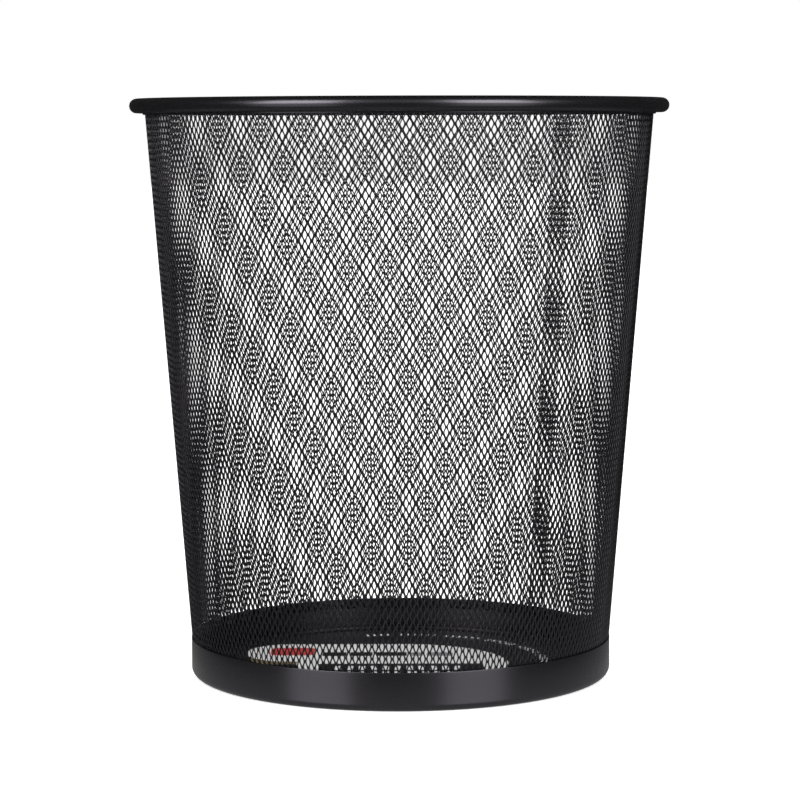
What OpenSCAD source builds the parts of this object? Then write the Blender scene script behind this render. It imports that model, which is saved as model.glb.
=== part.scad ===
// Round office wastebasket: a cone of black expanded-metal mesh between a rolled
// rim and a solid base band, with a pressed floor and a printed card lying on it.
// Millimetres, +Z up. The origin is the centre of the base, on the ground.
// +Y is the back of the basket and +X its right side. Nothing on it moves.

/* [Overall] */
// Height from the ground to the crown of the rim
height = 280; // [220:1:360]
// Outside diameter of the rolled rim
rim_d = 260; // [240:1:320]
// Outside diameter of the base band
base_d = 205; // [196:1:230]

/* [Sheet metal] */
// Thickness of the sheet that the rim, the band and the floor are made of
sheet_t = 0.6; // [0.4:0.1:0.8]

/* [Rim] */
// Outside diameter of the hollow bead rolled along the rim
bead_d = 7; // [6:0.5:9]
// How far the bead's outer lip reaches down the wall, below the bead
lip_drop = 0.7; // [0.4:0.1:2]
// How far the cap's inner leg stops above the underside of the bead
leg_lift = 1; // [0.5:0.1:2]

/* [Mesh wall] */
// Thickness of the expanded mesh over its tilted strands
mesh_t = 1; // [0.8:0.1:1.2]
// Length of wall tucked behind the base band
mesh_tuck = 5; // [3:0.5:8]
// Length along the wall's edge where its two ends lap
seam_lap = 11; // [6:1:20]
// Direction of the lap seam, counter-clockwise from +X
seam_angle = 46; // [0:1:359]

/* [Base] */
// Height of the base band
band_h = 18.5; // [14:0.5:26]
// Outside radius of the band's rolled bottom edge
hem_r = 3.8; // [2:0.1:4]
// Width of the flat foot that the band turns in under the floor
foot_w = 4; // [3:0.5:6]
// Height of the floor's top face above the ground
floor_z = 4; // [3.5:0.5:6]
// Height of the floor's stiffening ring
ring_h = 0.8; // [0.4:0.1:1.2]
// Diameter of the stiffening ring's crest
ring_d = 178; // [172:1:179]

/* [Card] */
// Diameter of the printed card on the floor
card_d = 164; // [100:2:164]
// Thickness of the card
card_t = 0.5; // [0.3:0.1:0.8]

/* [Hidden] */
$fn = 180;

base_r = base_d / 2;
band_in_r = base_r - sheet_t;

// Rim: the centre of the bead's round section, and the cap beside it
bead_r = bead_d / 2;
bead_x = rim_d / 2 - bead_r;
bead_z = height - bead_r;
bead_floor_z = height - bead_d;
lip_x = bead_x - bead_r;
mesh_gap = 0.2;
slot_w = mesh_t + mesh_gap;
cap_r = 3;
leg_x = lip_x - slot_w - sheet_t;
cap_x = leg_x + cap_r;
cap_z = height - cap_r;

// Mesh wall: the line of its outer face, from the step over the band to the bead
wall_play = 0.05;
step_h = 0.8;
wall_foot = [base_r, band_h + step_h];
wall_head = [lip_x - wall_play, bead_z - mesh_gap];
seam_arc = seam_lap / ((wall_foot.x + wall_head.x) / 2) * 180 / PI;
// The lapped layer beds slightly into the first. It stops short of the wall's foot and
// of the cap's inner leg
lap_inset = mesh_t - 0.05;
lap_lift = 0.5;
lap_top_z = bead_floor_z + leg_lift - mesh_gap;
lap_head = wall_foot + (wall_head - wall_foot) * (lap_top_z - wall_foot.y) / (wall_head.y - wall_foot.y);

// Floor pan: it stands on the band's foot. The radius of its pressed edge, and the
// half widths of its ring
pan_r = base_r - hem_r;
pan_edge_r = 1.2;
ring_crest = 0.6;
ring_foot = 2;

// A quarter of a circle, from its own centre towards -x and +y
module quarter(r) {
    intersection() {
        circle(r = r);
        translate([-r, 0]) square(r);
    }
}

// Section of the rim: a hollow bead, a lip down the outside of the wall, and a cap
// that closes over the wall's top edge and ends as a short leg inside it
module rim_section() {
    translate([bead_x, bead_z]) difference() {
        circle(r = bead_r);
        circle(r = bead_r - sheet_t);
    }
    translate([lip_x, bead_floor_z - lip_drop]) square([sheet_t, bead_r + lip_drop]);
    translate([cap_x, cap_z]) difference() {
        union() {
            quarter(cap_r);
            square([bead_x - cap_x, cap_r]);
        }
        quarter(cap_r - sheet_t);
        square([bead_x - cap_x, cap_r - sheet_t]);
    }
    translate([leg_x, bead_floor_z + leg_lift]) square([sheet_t, cap_z - bead_floor_z - leg_lift]);
}

// Section of one layer of the wall up to the point head, moved inwards by inset and
// with its foot raised by lift
module wall_section(head, inset = 0, lift = 0) {
    outside = [
        [band_in_r, band_h - mesh_tuck + lift],
        [band_in_r, band_h],
        wall_foot,
        head
    ];
    inside = [for (i = [3 : -1 : 0]) outside[i] - [mesh_t, 0]];
    translate([-inset, 0]) polygon(concat(outside, inside));
}

// Section of the base band: an upright wall, a rolled bottom edge and a flat foot
module band_section() {
    translate([band_in_r, hem_r]) square([sheet_t, band_h - hem_r]);
    translate([base_r - hem_r, hem_r]) mirror([1, 0]) mirror([0, 1]) difference() {
        quarter(hem_r);
        quarter(hem_r - sheet_t);
    }
    translate([base_r - hem_r - foot_w, 0]) square([foot_w, sheet_t]);
}

// Everything under the floor pan's top face, or under its lower face if inset is the
// sheet thickness: a flat top with one raised ring, and a rounded outer corner
module pan_outline(inset) {
    corner_x = pan_r - pan_edge_r;
    corner_z = floor_z - pan_edge_r;
    top_z = floor_z - inset;
    crest_x = ring_d / 2;
    polygon([
        [0, 0],
        [pan_r - inset, 0],
        [pan_r - inset, corner_z],
        [corner_x, corner_z],
        [corner_x, top_z],
        [crest_x + ring_foot, top_z],
        [crest_x + ring_crest, top_z + ring_h],
        [crest_x - ring_crest, top_z + ring_h],
        [crest_x - ring_foot, top_z],
        [0, top_z]
    ]);
    translate([corner_x, corner_z]) circle(r = pan_edge_r - inset);
}

// Section of the floor pan: one sheet, with its edge turned down to the band's foot
module pan_section() {
    difference() {
        pan_outline(0);
        pan_outline(sheet_t);
        square([pan_r, sheet_t]);
    }
}

// Rolled steel rim, a closed hoop
module rim_bead() {
    color("#1c1c1e") rotate_extrude() rim_section();
}

// Expanded-metal wall: a cone, with a second layer inside it where its ends lap
module mesh_wall() {
    color("#2b2b2d") {
        rotate_extrude() wall_section(wall_head);
        rotate([0, 0, seam_angle - seam_arc / 2])
            rotate_extrude(angle = seam_arc) wall_section(lap_head, lap_inset, lap_lift);
    }
}

// Solid steel band round the foot of the wall
module base_band() {
    color("#1f1f21") rotate_extrude() band_section();
}

// Pressed steel floor, standing on the band's foot
module floor_pan() {
    color("#19191b") rotate_extrude() pan_section();
}

// Round printed card lying on the floor
module label_card() {
    color("#e8e8e6") translate([0, 0, floor_z]) cylinder(h = card_t, d = card_d);
}

rim_bead();
mesh_wall();
base_band();
floor_pan();
label_card();
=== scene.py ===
"""Looks of a round mesh wastebasket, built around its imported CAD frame.

Black painted steel: an expanded-metal cone between a rolled rim and a solid base band,
with a pressed floor and a printed card lying on it. Everything is in metres, in the CAD
frame: +Z up, the basket's back towards +Y. Nothing on it moves, so all of it rides on
the one body, "root".
"""

import math

import bpy
import numpy as np
from mathutils import Matrix, Vector


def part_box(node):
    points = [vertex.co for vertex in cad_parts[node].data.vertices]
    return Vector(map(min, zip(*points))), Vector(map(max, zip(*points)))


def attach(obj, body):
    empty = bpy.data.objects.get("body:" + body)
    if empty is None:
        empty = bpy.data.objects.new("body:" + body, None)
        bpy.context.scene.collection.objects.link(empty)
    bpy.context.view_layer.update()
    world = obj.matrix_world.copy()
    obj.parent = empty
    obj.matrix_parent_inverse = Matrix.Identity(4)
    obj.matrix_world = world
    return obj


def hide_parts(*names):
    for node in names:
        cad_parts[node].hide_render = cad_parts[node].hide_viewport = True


MM = 0.001
BODY = "root"

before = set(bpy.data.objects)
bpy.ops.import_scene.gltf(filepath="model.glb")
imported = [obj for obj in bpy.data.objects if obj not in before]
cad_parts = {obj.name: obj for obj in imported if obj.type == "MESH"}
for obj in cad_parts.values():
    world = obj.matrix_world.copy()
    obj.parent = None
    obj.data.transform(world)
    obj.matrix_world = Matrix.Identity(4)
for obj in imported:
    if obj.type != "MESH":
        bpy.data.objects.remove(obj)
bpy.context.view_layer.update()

# ---------------------------------------------------------------- sizes
# Outside sizes come from the frame. The details below them are the same as in the CAD.
_, rim_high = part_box("rim_bead")
wall_low, wall_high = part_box("mesh_wall")
_, band_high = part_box("base_band")
pan_low, pan_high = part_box("floor_pan")
card_low, card_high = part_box("label_card")

SHEET = 0.6 * MM            # sheet that the rim, the band and the pan are pressed from
BEAD_R = 3.5 * MM           # the rim's round section
LIP_DROP = 0.7 * MM         # outer lip, below the bead
LEG_LIFT = 1.0 * MM         # inner leg, above the bead's underside
SLOT = 1.2 * MM             # room for the mesh between lip and leg
CAP_R = 3.0 * MM            # the cap that closes over the mesh
HEM_R = 3.8 * MM            # the band's rolled bottom edge
FOOT_W = 4.0 * MM           # the flat foot that the band turns in
PAN_EDGE_R = 1.2 * MM       # the pan's pressed edge
PAN_RING_R = 89.0 * MM      # the crest of the pan's stiffening ring
WALL_T = 1.0 * MM           # the wall over its tilted strands
STEP_H = 0.8 * MM           # height over which the wall steps out, above the band
INK_T = 0.02 * MM           # one layer of print on the card
SHARP = math.radians(35)    # edges that bend by more than this stay sharp

rim_r, rim_top = rim_high.x, rim_high.z
base_r, band_top = band_high.x, band_high.z
bead_x, bead_z = rim_r - BEAD_R, rim_top - BEAD_R
lip_x = bead_x - BEAD_R
band_in = base_r - SHEET
floor_top = card_low.z
card_r, card_top = card_high.x, card_high.z

# ---------------------------------------------------------------- the expanded metal
CELLS = 208.5               # openings round the basket; the half puts the seam's two layers out of step
ROW = 2.9 * MM              # from one ring of bonds to the next, half an opening's height
BOND = 0.8 * MM             # height of a bond, where two strands stay joined
STRAND_W = (0.70 * MM, 0.66 * MM)    # a strand's face, across: at the wall's foot, at the rim
STRAND_T = 0.34 * MM        # a strand, through the sheet
TILT = (-0.36, -0.42)       # radians that expanding has turned the strands by: at the foot, at the rim
TWIST = 0.15                # radians less of that turn at the bonds, and more half way between them
WAIST = 0.1                 # share by which a strand is wider at the bonds, and narrower between them
TOP_GAP = 0.3 * MM          # from the strands' ends to the wall's top edge

SEAM = math.radians(46)     # direction of the lap seam
LAP_RIBBONS = 6             # ribbons doubled at the seam
LAP_INSET = WALL_T * 0.95   # how far the inner layer stands inside the outer one
LAP_EASE = math.radians(9)  # the inner end moves inwards over this angle
LAP_PINCH = (3.0 * MM, 11.0 * MM)    # below the wall's top: down to where the two layers share one
                                     # place, and from where on they stand apart

RIBBONS = int(2 * CELLS) + LAP_RIBBONS
RIBBON_ANGLE = math.pi / CELLS
SECTORS = 8                 # the wall is built as this many pieces

# ---------------------------------------------------------------- the studio
ROOM_GLOW = 0.012           # strength of the dim room, as reflections see it
WALL_GLOW = 0.32            # of the wall behind the camera
TABLE_GLOW = 0.17           # of the table round the basket, fading out to TABLE_R
TABLE_R = 0.60
FOOT_GLOW = 0.08            # of the table close to the basket's foot, fading out over FOOT_REACH
FOOT_REACH = 0.055
SOFTBOX_TURNS = {"left": -43, "right": 39}    # degrees to the right of the camera's side
SOFTBOX_FAR = 1.6
SOFTBOX_W = 0.95


# ---------------------------------------------------------------- mesh building
def new_object(name, vertices, faces, material, smooth=None):
    """A mesh piece that rides on the body. Its faces are flat, or if smooth is given, only edges
    that bend by more than that angle stay sharp."""
    mesh = bpy.data.meshes.new(name)
    mesh.from_pydata([tuple(v) for v in vertices], [], [tuple(f) for f in faces])
    mesh.update()
    if smooth is not None:
        mesh.shade_smooth()
        mesh.set_sharp_from_angle(angle=smooth)
    piece = bpy.data.objects.new(name, mesh)
    bpy.context.scene.collection.objects.link(piece)
    mesh.materials.append(material)
    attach(piece, BODY)
    return piece


def arc(cx, cz, r, start, end, steps):
    """Points on an arc about (cx, cz), from start to end degrees, both included."""
    turns = [math.radians(start + (end - start) * i / steps) for i in range(steps + 1)]
    return [(cx + r * math.cos(a), cz + r * math.sin(a)) for a in turns]


def revolve(name, outline, segments, material):
    """Turns a closed outline of (radius, z) points round the axis. A point on the axis stays one vertex."""
    rings, vertices = [], []
    for r, z in outline:
        if r < 1e-9:
            rings.append([len(vertices)] * segments)
            vertices.append((0.0, 0.0, z))
            continue
        first = len(vertices)
        rings.append(list(range(first, first + segments)))
        for i in range(segments):
            a = 2 * math.pi * i / segments
            vertices.append((r * math.cos(a), r * math.sin(a), z))
    faces = []
    for k, ring in enumerate(rings):
        other = rings[(k + 1) % len(rings)]
        for i in range(segments):
            j = (i + 1) % segments
            corners = [ring[i], ring[j], other[j], other[i]]
            corners = [c for n, c in enumerate(corners) if c not in corners[:n]]
            if len(corners) > 2:
                faces.append(corners)
    return new_object(name, vertices, faces, material, SHARP)


# ---------------------------------------------------------------- shader nodes
def noise(tree, place, scale, detail):
    n = tree.nodes.new("ShaderNodeTexNoise")
    n.inputs["Scale"].default_value = scale
    n.inputs["Detail"].default_value = detail
    tree.links.new(place, n.inputs["Vector"])
    return n.outputs["Fac"]


def ramp(tree, value, low, high, at_low, at_high, kind="LINEAR"):
    """Turns a value between low and high into one between at_low and at_high."""
    n = tree.nodes.new("ShaderNodeMapRange")
    n.interpolation_type = kind
    n.inputs["From Min"].default_value = low
    n.inputs["From Max"].default_value = high
    n.inputs["To Min"].default_value = at_low
    n.inputs["To Max"].default_value = at_high
    tree.links.new(value, n.inputs["Value"])
    return n.outputs["Result"]


def combine(tree, kind, a, b):
    """Two values put together by a Math node. b may be a plain number."""
    n = tree.nodes.new("ShaderNodeMath")
    n.operation = kind
    tree.links.new(a, n.inputs[0])
    if isinstance(b, float):
        n.inputs[1].default_value = b
    else:
        tree.links.new(b, n.inputs[1])
    return n.outputs[0]


def shade(colour, factor):
    return (*[min(1.0, c * factor) for c in colour], 1)


def mix_colours(tree, share, a, b):
    """Colour a where share is 0 and b where it is 1. a may come from another node."""
    n = tree.nodes.new("ShaderNodeMix")
    n.data_type = "RGBA"
    n.inputs["B"].default_value = b
    tree.links.new(share, n.inputs["Factor"])
    if isinstance(a, tuple):
        n.inputs["A"].default_value = a
    else:
        tree.links.new(a, n.inputs["A"])
    return n.outputs["Result"]


def add_relief(tree, height, strength, distance):
    n = tree.nodes.new("ShaderNodeBump")
    n.inputs["Strength"].default_value = strength
    n.inputs["Distance"].default_value = distance
    tree.links.new(height, n.inputs["Height"])
    tree.links.new(n.outputs["Normal"], tree.nodes["Principled BSDF"].inputs["Normal"])


# ---------------------------------------------------------------- materials
def new_material(name):
    """A material with its node tree, its shader, and the output that gives a point's place."""
    mat = bpy.data.materials.new(name)
    mat.use_nodes = True
    tree = mat.node_tree
    place = tree.nodes.new("ShaderNodeTexCoord").outputs["Object"]
    return mat, tree, tree.nodes["Principled BSDF"], place


def painted_steel(name, colour, roughness, bump=0.12, gloss=1.0):
    """Black stove enamel: a slightly uneven satin skin, with faint specks of dust in it."""
    mat, tree, shader, place = new_material(name)
    shader.inputs["Specular IOR Level"].default_value = gloss
    shader.inputs["Specular Tint"].default_value = (0.94, 0.89, 1.0, 1)

    cloud = noise(tree, place, 28.0, 3.0)
    tone = mix_colours(tree, cloud, shade(colour, 0.8), shade(colour, 1.25))

    speck = tree.nodes.new("ShaderNodeTexVoronoi")
    speck.inputs["Scale"].default_value = 260.0
    tree.links.new(place, speck.inputs["Vector"])
    dust = ramp(tree, speck.outputs["Distance"], 0.0, 0.07, 1.0, 0.0)
    tree.links.new(mix_colours(tree, dust, tone, shade(colour, 2.2)), shader.inputs["Base Color"])

    rough = ramp(tree, cloud, 0.0, 1.0, roughness * 0.88, roughness * 1.12)
    tree.links.new(rough, shader.inputs["Roughness"])
    if bump:
        add_relief(tree, noise(tree, place, 900.0, 2.0), bump, 0.05 * MM)
    return mat


def printed_card(name, colour, roughness=0.45):
    """Coated card or the ink on it: faint fibres, uneven ink, and a little sheen."""
    mat, tree, shader, place = new_material(name)
    fibre = noise(tree, place, 420.0, 6.0)
    ink = mix_colours(tree, fibre, shade(colour, 0.9), shade(colour, 1.06))
    tree.links.new(ink, shader.inputs["Base Color"])
    rough = ramp(tree, fibre, 0.0, 1.0, roughness * 0.85, roughness * 1.15)
    tree.links.new(rough, shader.inputs["Roughness"])
    add_relief(tree, fibre, 0.15, 0.03 * MM)
    return mat


# ---------------------------------------------------------------- the wall
# The wall's outer face in section, from its hidden foot behind the band up to the rim
wall_corners = np.array([
    (band_in, wall_low.z),
    (band_in, band_top),
    (base_r, band_top + STEP_H),
    (wall_high.x, wall_high.z),
])
wall_reach = np.concatenate([[0.0], np.cumsum(np.linalg.norm(np.diff(wall_corners, axis=0), axis=1))])
wall_length = wall_reach[-1]


def wall_line(up):
    """Radius and height of the wall's middle surface, at a distance up it from its hidden foot."""
    radius, height = (np.interp(up, wall_reach, corners) for corners in wall_corners.T)
    return radius - WALL_T / 2, height


def strand_sections():
    """Where a strand has cross-sections: at both ends of each bond, and half way to the next one.

    Returns the distance up the wall, the number of the bond, and 1 half way between bonds or else 0."""
    rings = np.arange(int(wall_length / ROW) + 1)
    up = np.stack([rings * ROW - BOND / 2, rings * ROW + BOND / 2, (rings + 0.5) * ROW], 1)
    up = np.clip(up.ravel()[:-1], 0.0, wall_length - TOP_GAP)
    ring = np.repeat(rings, 3)[:-1]
    free = np.tile([0.0, 0.0, 1.0], len(rings))[:-1]
    return up, ring, free


def lap_inset(ribbon, up):
    """How far ribbons stand inside the wall's surface: only those near the inner end at the seam do."""
    travel = (ribbon - LAP_RIBBONS / 2) * RIBBON_ANGLE
    eased = np.clip((travel - (2 * math.pi - LAP_EASE)) / LAP_EASE, 0, 1)
    shared, apart = LAP_PINCH
    parted = np.clip((wall_length - up - shared) / (apart - shared), 0, 1)
    return LAP_INSET * eased * eased * (3 - 2 * eased) * parted


def ribbon_points(first, count):
    """Corners of every cross-section of ribbons first to first + count - 1.

    Slitting and stretching a sheet leaves upright ribbons that zigzag: each is bonded to its
    left neighbour at one ring and to its right neighbour at the next. A ribbon's section is a
    rectangle, turned out of the sheet by TILT, so the ribbons lean like slats.
    Returns an array (ribbon, section, corner, xyz) and the height share of each section."""
    up, ring, free = strand_sections()
    radius, height = wall_line(up)
    share = up / wall_length

    ribbon = np.arange(first, first + count)[:, None]
    odd = (ring + ribbon) % 2
    place = odd * (1 - free) + 0.5 * free                     # 0 at its left bonds, 1 at its right ones
    side = (1 - 2 * odd) * (1 - free)                         # a bond's two ribbons lie side by side
    centre_angle = SEAM + (ribbon + place - LAP_RIBBONS / 2) * RIBBON_ANGLE
    radius = radius - lap_inset(ribbon, up)

    tilt, width = (foot + (rim - foot) * share for foot, rim in (TILT, STRAND_W))
    tilt = tilt + TWIST * (1 - 2 * free)
    half_w = (width / 2 * (1 + WAIST * (1 - 2 * free)))[:, None]
    half_t = STRAND_T / 2
    across = np.stack([np.cos(tilt), -np.sin(tilt)], -1)      # along the face: tangent, radial
    through = np.stack([np.sin(tilt), np.cos(tilt)], -1)      # through the strand
    centre = side[..., None] * across * half_w
    corners = []
    for a, b in ((-1, -1), (1, -1), (1, 1), (-1, 1)):
        offset = centre + across * (a * half_w) + through * (b * half_t)
        r = radius + offset[..., 1]
        angle = centre_angle + offset[..., 0] / r
        z = np.broadcast_to(height, r.shape)
        corners.append(np.stack([r * np.cos(angle), r * np.sin(angle), z], -1))
    return np.stack(corners, 2), share


def bar_faces(number):
    """Faces of closed bars with four corners, from the vertex numbers (bar, section, corner)."""
    quads = []
    for c in range(4):
        near, far = number[:, :, c], number[:, :, (c + 1) % 4]
        quads.append(np.stack([near[:, :-1], far[:, :-1], far[:, 1:], near[:, 1:]], -1))
    quads = np.stack(quads, 2).reshape(-1, 4)
    ends = np.concatenate([number[:, 0, ::-1], number[:, -1, :]])
    return np.concatenate([quads, ends]).astype(np.int32)


def mesh_sector(index, first, count, material):
    """One sector of the wall: count ribbons, each a closed bar, shaded round as paint rounds it."""
    points, share = ribbon_points(first, count)
    number = np.arange(points.size // 3).reshape(points.shape[:3])
    faces = bar_faces(number)

    mesh = bpy.data.meshes.new(f"mesh_sector_{index}")
    mesh.vertices.add(number.size)
    mesh.vertices.foreach_set("co", points.astype(np.float32).ravel())
    mesh.loops.add(faces.size)
    mesh.loops.foreach_set("vertex_index", faces.ravel())
    mesh.polygons.add(len(faces))
    mesh.polygons.foreach_set("loop_start", np.arange(0, faces.size, 4, dtype=np.int32))
    mesh.update(calc_edges=True)

    # The sector's map runs once across it and once up it.
    along = np.broadcast_to(((np.arange(count) + 0.5) / count)[:, None, None], number.shape)
    up = np.broadcast_to(share[None, :, None], number.shape)
    flat = np.stack([along, up], -1).reshape(-1, 2)
    layer = mesh.uv_layers.new(name="OFBake")
    layer.data.foreach_set("uv", flat[faces.ravel()].astype(np.float32).ravel())

    mesh.shade_smooth()
    piece = bpy.data.objects.new(mesh.name, mesh)
    bpy.context.scene.collection.objects.link(piece)
    mesh.materials.append(material)
    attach(piece, BODY)
    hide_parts("mesh_wall")


def make_wall(material):
    edges = [round(RIBBONS * i / SECTORS) for i in range(SECTORS + 1)]
    for i in range(SECTORS):
        mesh_sector(i, edges[i], edges[i + 1] - edges[i], material)


# ---------------------------------------------------------------- rim, band, floor
def make_rim(material):
    """The rolled rim: bead, cap and leg in one skin, with the slot that holds the mesh."""
    leg_x = lip_x - SLOT - SHEET
    leg_end = rim_top - 2 * BEAD_R + LEG_LIFT
    cap_x, cap_z = leg_x + CAP_R, rim_top - CAP_R
    lip_end = rim_top - 2 * BEAD_R - LIP_DROP
    edge = SHEET / 2
    meet = math.degrees(math.acos((lip_x + SHEET - bead_x) / BEAD_R))
    outline = arc(leg_x + edge, leg_end + edge, edge, 360, 180, 6)
    outline += arc(cap_x, cap_z, CAP_R, 180, 90, 10)
    outline += arc(bead_x, bead_z, BEAD_R, 90, -meet, 56)
    outline += arc(lip_x + edge, lip_end + edge, edge, 0, -180, 6)
    outline += [(lip_x, cap_z), (leg_x + SHEET, cap_z)]
    rim = revolve("rolled_rim", outline, 480, material)
    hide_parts("rim_bead")


def make_band(material):
    """The base band: upright wall with a rounded top edge, rolled bottom edge and flat foot."""
    edge = SHEET / 2
    foot_x = base_r - HEM_R - FOOT_W
    outline = arc(base_r - edge, band_top - edge, edge, 180, 0, 6)
    outline += arc(base_r - HEM_R, HEM_R, HEM_R, 0, -90, 10)
    outline += arc(foot_x + edge, edge, edge, -90, -270, 6)
    outline += arc(base_r - HEM_R, HEM_R, HEM_R - SHEET, -90, 0, 8)
    band = revolve("base_skirt", outline, 480, material)
    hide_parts("base_band")


def pan_line(z):
    """The pan's face at height z in section, from the axis outwards, with the ring pressed up in it."""
    rise = pan_high.z - floor_top
    slope = ((2.0, 0.0), (1.5, 0.12), (0.78, 0.88), (0.36, 1.0))    # mm off the crest, share of rise
    inside = [(PAN_RING_R - off * MM, z + rise * share) for off, share in slope]
    outside = [(PAN_RING_R + off * MM, z + rise * share) for off, share in reversed(slope)]
    return [(0.0, z)] + inside + outside


def make_pan(material):
    """The pressed floor: one sheet with a raised ring, its edge turned down to the band's foot."""
    pan_r = pan_high.x
    edge_x, edge_z = pan_r - PAN_EDGE_R, floor_top - PAN_EDGE_R
    outline = pan_line(floor_top)
    outline += arc(edge_x, edge_z, PAN_EDGE_R, 90, 0, 8)
    outline += [(pan_r, pan_low.z), (pan_r - SHEET, pan_low.z)]
    outline += arc(edge_x, edge_z, PAN_EDGE_R - SHEET, 0, 90, 6)
    outline += pan_line(floor_top - SHEET)[::-1]
    pan = revolve("pressed_floor", outline, 360, material)
    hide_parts("floor_pan")


# ---------------------------------------------------------------- the card
def rounded_outline(x0, y0, x1, y1, r, steps=8):
    """A rectangle with round corners, counter-clockwise, in millimetres."""
    points = arc(x1 - r, y1 - r, r, 0, 90, steps)
    points += arc(x0 + r, y1 - r, r, 90, 180, steps)
    points += arc(x0 + r, y0 + r, r, 180, 270, steps)
    points += arc(x1 - r, y0 + r, r, 270, 360, steps)
    return points


def printed(name, outlines, layer, material):
    """Flat ink shapes on the card: each outline, in millimetres, is a thin closed plate."""
    low = card_top + layer * INK_T
    high = low + INK_T
    vertices, faces = [], []
    for outline in outlines:
        n, first = len(outline), len(vertices)
        vertices += [(x * MM, y * MM, low) for x, y in outline]
        vertices += [(x * MM, y * MM, high) for x, y in outline]
        faces.append([first + n + i for i in range(n)])
        faces.append([first + i for i in reversed(range(n))])
        for i in range(n):
            j = (i + 1) % n
            faces.append([first + i, first + j, first + n + j, first + n + i])
    piece = new_object(name, vertices, faces, material)


def panel_bars():
    """Two rows of short upright bars, most of them narrow and every third or so wide."""
    bars = []
    for row, (y0, y1) in enumerate(((-24, -14), (-35, -28))):
        x = -32.0
        while x < 30:
            wide = 3.2 if (int(x) + row) % 3 else 5.0
            bars.append(rounded_outline(x, y0, x + wide, y1, 0.8, 3))
            x += wide + 2.6
    return bars


def edge_ticks():
    """Short strokes that point outwards along the card's edge, in groups of six."""
    inner, outer, half = 68.5, 73.0, 0.75
    ticks = []
    for i in range(46):
        if i % 7 == 6:
            continue
        a = math.radians(-22 + i * 2.8)
        c, s = math.cos(a), math.sin(a)
        ticks.append([
            (inner * c + half * s, inner * s - half * c),
            (outer * c + half * s, outer * s - half * c),
            (outer * c - half * s, outer * s + half * c),
            (inner * c - half * s, inner * s + half * c),
        ])
    return ticks


def make_card():
    """A round black card with plain printed shapes: a disc, a tab, bars and an arc of ticks."""
    black = printed_card("card_black", (0.012, 0.012, 0.014), 0.4)
    white = printed_card("card_white", (0.86, 0.86, 0.86))
    red = printed_card("card_red", (0.62, 0.05, 0.05))
    grey = printed_card("card_grey", (0.25, 0.25, 0.26))
    gold = printed_card("card_gold", (0.20, 0.16, 0.09))

    worn = 0.15 * MM
    outline = [(0.0, card_top), (card_r - worn, card_top), (card_r, card_top - worn)]
    outline += [(card_r, card_low.z + 0.1 * MM), (card_r - 0.1 * MM, card_low.z), (0.0, card_low.z)]
    card = revolve("printed_card", outline, 180, black)
    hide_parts("label_card")

    words = [(-39, -27), (-25, -14), (-12, 3), (5, 11), (13, 26)]
    printed("print_gold", [rounded_outline(-74, -9, -30, 20, 12)], 0, gold)
    printed("print_white", [arc(1, -8, 52, 0, 358, 179)], 1, white)
    printed("print_white_tab", [rounded_outline(-77, -2, 12, 44, 22)], 2, white)
    printed("print_red", [rounded_outline(-65, 14, -43, 34, 4)], 3, red)
    printed("print_words", [rounded_outline(a, 12, b, 22, 1) for a, b in words[:3]], 3, black)
    printed("print_words_grey", [rounded_outline(a, 12, b, 21, 1) for a, b in words[3:]], 3, grey)
    printed("print_panel", [rounded_outline(-40, -48, 40, -8, 2)], 3, black)
    printed("print_panel_bars", panel_bars(), 4, white)
    printed("print_ticks", edge_ticks(), 0, white)


# ---------------------------------------------------------------- stage, light, camera
def stage_plane(name, half, z, material):
    """A level square of the stage, which is not part of the basket."""
    mesh = bpy.data.meshes.new(name)
    corners = [(-half, -half, 0), (half, -half, 0), (half, half, 0), (-half, half, 0)]
    mesh.from_pydata(corners, [], [(0, 1, 2, 3)])
    mesh.materials.append(material)
    plane = bpy.data.objects.new(name, mesh)
    plane.location.z = z
    bpy.context.scene.collection.objects.link(plane)
    return plane


def make_floor():
    """The white floor. Reflections don't see it: they see the table's glow instead."""
    mat = bpy.data.materials.new("stage_white")
    mat.use_nodes = True
    shader = mat.node_tree.nodes["Principled BSDF"]
    shader.inputs["Base Color"].default_value = (0.93, 0.93, 0.93, 1)
    shader.inputs["Roughness"].default_value = 0.9
    shader.inputs["Specular IOR Level"].default_value = 0.1
    shader.inputs["Emission Color"].default_value = (1, 1, 1, 1)
    shader.inputs["Emission Strength"].default_value = 0.5
    floor = stage_plane("stage_floor", 12.0, 0.0, mat)
    floor.visible_glossy = False
    floor.visible_shadow = False


def make_table_glow():
    """Light thrown back by the table round the basket, fading with distance: only reflections see it.

    It adds to what lies behind it, so the low softboxes shine through it."""
    mat = bpy.data.materials.new("stage_table_glow")
    mat.use_nodes = True
    tree = mat.node_tree
    tree.nodes.clear()
    place = tree.nodes.new("ShaderNodeTexCoord")
    away = tree.nodes.new("ShaderNodeVectorMath")
    away.operation = "LENGTH"
    tree.links.new(place.outputs["Object"], away.inputs[0])
    wide = ramp(tree, away.outputs["Value"], base_r, TABLE_R, TABLE_GLOW, 0.0, "SMOOTHSTEP")
    near = ramp(tree, away.outputs["Value"], base_r, base_r + FOOT_REACH, FOOT_GLOW, 0.0, "SMOOTHSTEP")

    glow = tree.nodes.new("ShaderNodeEmission")
    tree.links.new(combine(tree, "ADD", wide, near), glow.inputs["Strength"])
    clear = tree.nodes.new("ShaderNodeBsdfTransparent")
    both = tree.nodes.new("ShaderNodeAddShader")
    tree.links.new(clear.outputs[0], both.inputs[0])
    tree.links.new(glow.outputs[0], both.inputs[1])
    out = tree.nodes.new("ShaderNodeOutputMaterial")
    tree.links.new(both.outputs[0], out.inputs["Surface"])

    table = stage_plane("stage_table", 1.2, -0.5 * MM, mat)
    table.visible_camera = False
    table.visible_diffuse = False
    table.visible_shadow = False
    table.visible_transmission = False


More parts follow.
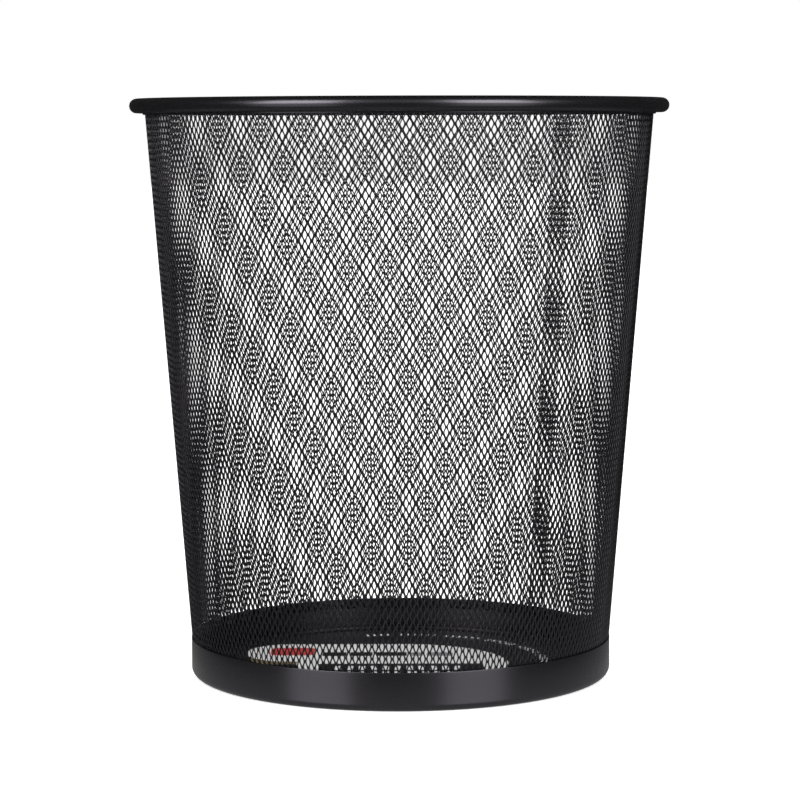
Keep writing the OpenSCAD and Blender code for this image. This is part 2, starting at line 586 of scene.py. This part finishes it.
def reflected_room(tree):
    """What reflections see: a dim room, and a brighter band on the wall behind the camera."""
    place = tree.nodes.new("ShaderNodeTexCoord")
    split = tree.nodes.new("ShaderNodeSeparateXYZ")
    tree.links.new(place.outputs["Generated"], split.inputs[0])
    forward, upward = split.outputs["Y"], split.outputs["Z"]
    wall = ramp(tree, forward, -0.35, -0.1, WALL_GLOW, ROOM_GLOW, "SMOOTHSTEP")
    foot = ramp(tree, upward, 0.1, 0.4, 0.0, 1.0, "SMOOTHSTEP")
    head = ramp(tree, upward, 0.6, 0.95, 1.0, 0.0, "SMOOTHSTEP")
    band = combine(tree, "MULTIPLY", foot, head)
    return combine(tree, "ADD", combine(tree, "MULTIPLY", wall, band), ROOM_GLOW)


def background(tree):
    n = tree.nodes.new("ShaderNodeBackground")
    n.inputs["Color"].default_value = (1, 1, 1, 1)
    return n


def make_world():
    """White to the camera and to matt surfaces, while reflections see the room."""
    world = bpy.data.worlds.new("studio")
    bpy.context.scene.world = world
    world.use_nodes = True
    tree = world.node_tree
    tree.nodes.clear()
    seen, mirrored, fill = background(tree), background(tree), background(tree)
    tree.links.new(reflected_room(tree), mirrored.inputs["Strength"])

    path = tree.nodes.new("ShaderNodeLightPath")
    glossy = tree.nodes.new("ShaderNodeMixShader")
    tree.links.new(path.outputs["Is Glossy Ray"], glossy.inputs["Fac"])
    tree.links.new(fill.outputs[0], glossy.inputs[1])
    tree.links.new(mirrored.outputs[0], glossy.inputs[2])
    final = tree.nodes.new("ShaderNodeMixShader")
    tree.links.new(path.outputs["Is Camera Ray"], final.inputs["Fac"])
    tree.links.new(glossy.outputs[0], final.inputs[1])
    tree.links.new(seen.outputs[0], final.inputs[2])
    out = tree.nodes.new("ShaderNodeOutputWorld")
    tree.links.new(final.outputs[0], out.inputs["Surface"])


def softbox(name, azimuth, low, high, power):
    """An upright soft light facing the basket, azimuth degrees to the right of the camera's side."""
    light = bpy.data.lights.new(name, "AREA")
    light.shape = "RECTANGLE"
    light.size, light.size_y = SOFTBOX_W, high - low
    light.energy = power
    lamp = bpy.data.objects.new(name, light)
    bpy.context.scene.collection.objects.link(lamp)
    a = math.radians(azimuth)
    lamp.location = (SOFTBOX_FAR * math.sin(a), -SOFTBOX_FAR * math.cos(a), (low + high) / 2)
    aim = Vector((0, 0, lamp.location.z)) - lamp.location
    lamp.rotation_mode = "QUATERNION"
    lamp.rotation_quaternion = aim.to_track_quat("-Z", "Y")
    lamp.visible_camera = False


def make_lights():
    """On each side an upright softbox, and below it a weaker one that lights the rolled edges."""
    for side, azimuth in SOFTBOX_TURNS.items():
        softbox(f"softbox_{side}", azimuth, 0.45, 1.75, 19)
        softbox(f"softbox_{side}_foot", azimuth, -0.75, 0.45, 3)


def make_camera():
    """A long lens in front of the basket, a little below the rim's top and tipped slightly down."""
    data = bpy.data.cameras.new("camera")
    data.sensor_width = 36.0
    data.lens = 125.7
    data.clip_start, data.clip_end = 0.05, 60
    cam = bpy.data.objects.new("camera", data)
    bpy.context.scene.collection.objects.link(cam)
    cam.location = (0.0, -1.3575, 0.2663)
    tip, roll = 0.0975, -0.0025
    turn = Matrix.Rotation(math.pi / 2 - tip, 4, "X") @ Matrix.Rotation(roll, 4, "Z")
    cam.rotation_mode = "QUATERNION"
    cam.rotation_quaternion = turn.to_quaternion()
    bpy.context.scene.camera = cam


# ---------------------------------------------------------------- build
make_wall(painted_steel("enamel_mesh", (0.0020, 0.0020, 0.0022), 0.28, bump=0, gloss=0.6))
make_rim(painted_steel("enamel_rim", (0.0025, 0.0025, 0.0028), 0.26))
make_band(painted_steel("enamel_band", (0.0025, 0.0025, 0.0029), 0.25))
make_pan(painted_steel("enamel_floor", (0.0020, 0.0020, 0.0022), 0.34))
make_card()

make_floor()
make_table_glow()
make_world()
make_lights()
make_camera()
view = bpy.context.scene.view_settings
view.view_transform = "Standard"
view.look = "None"
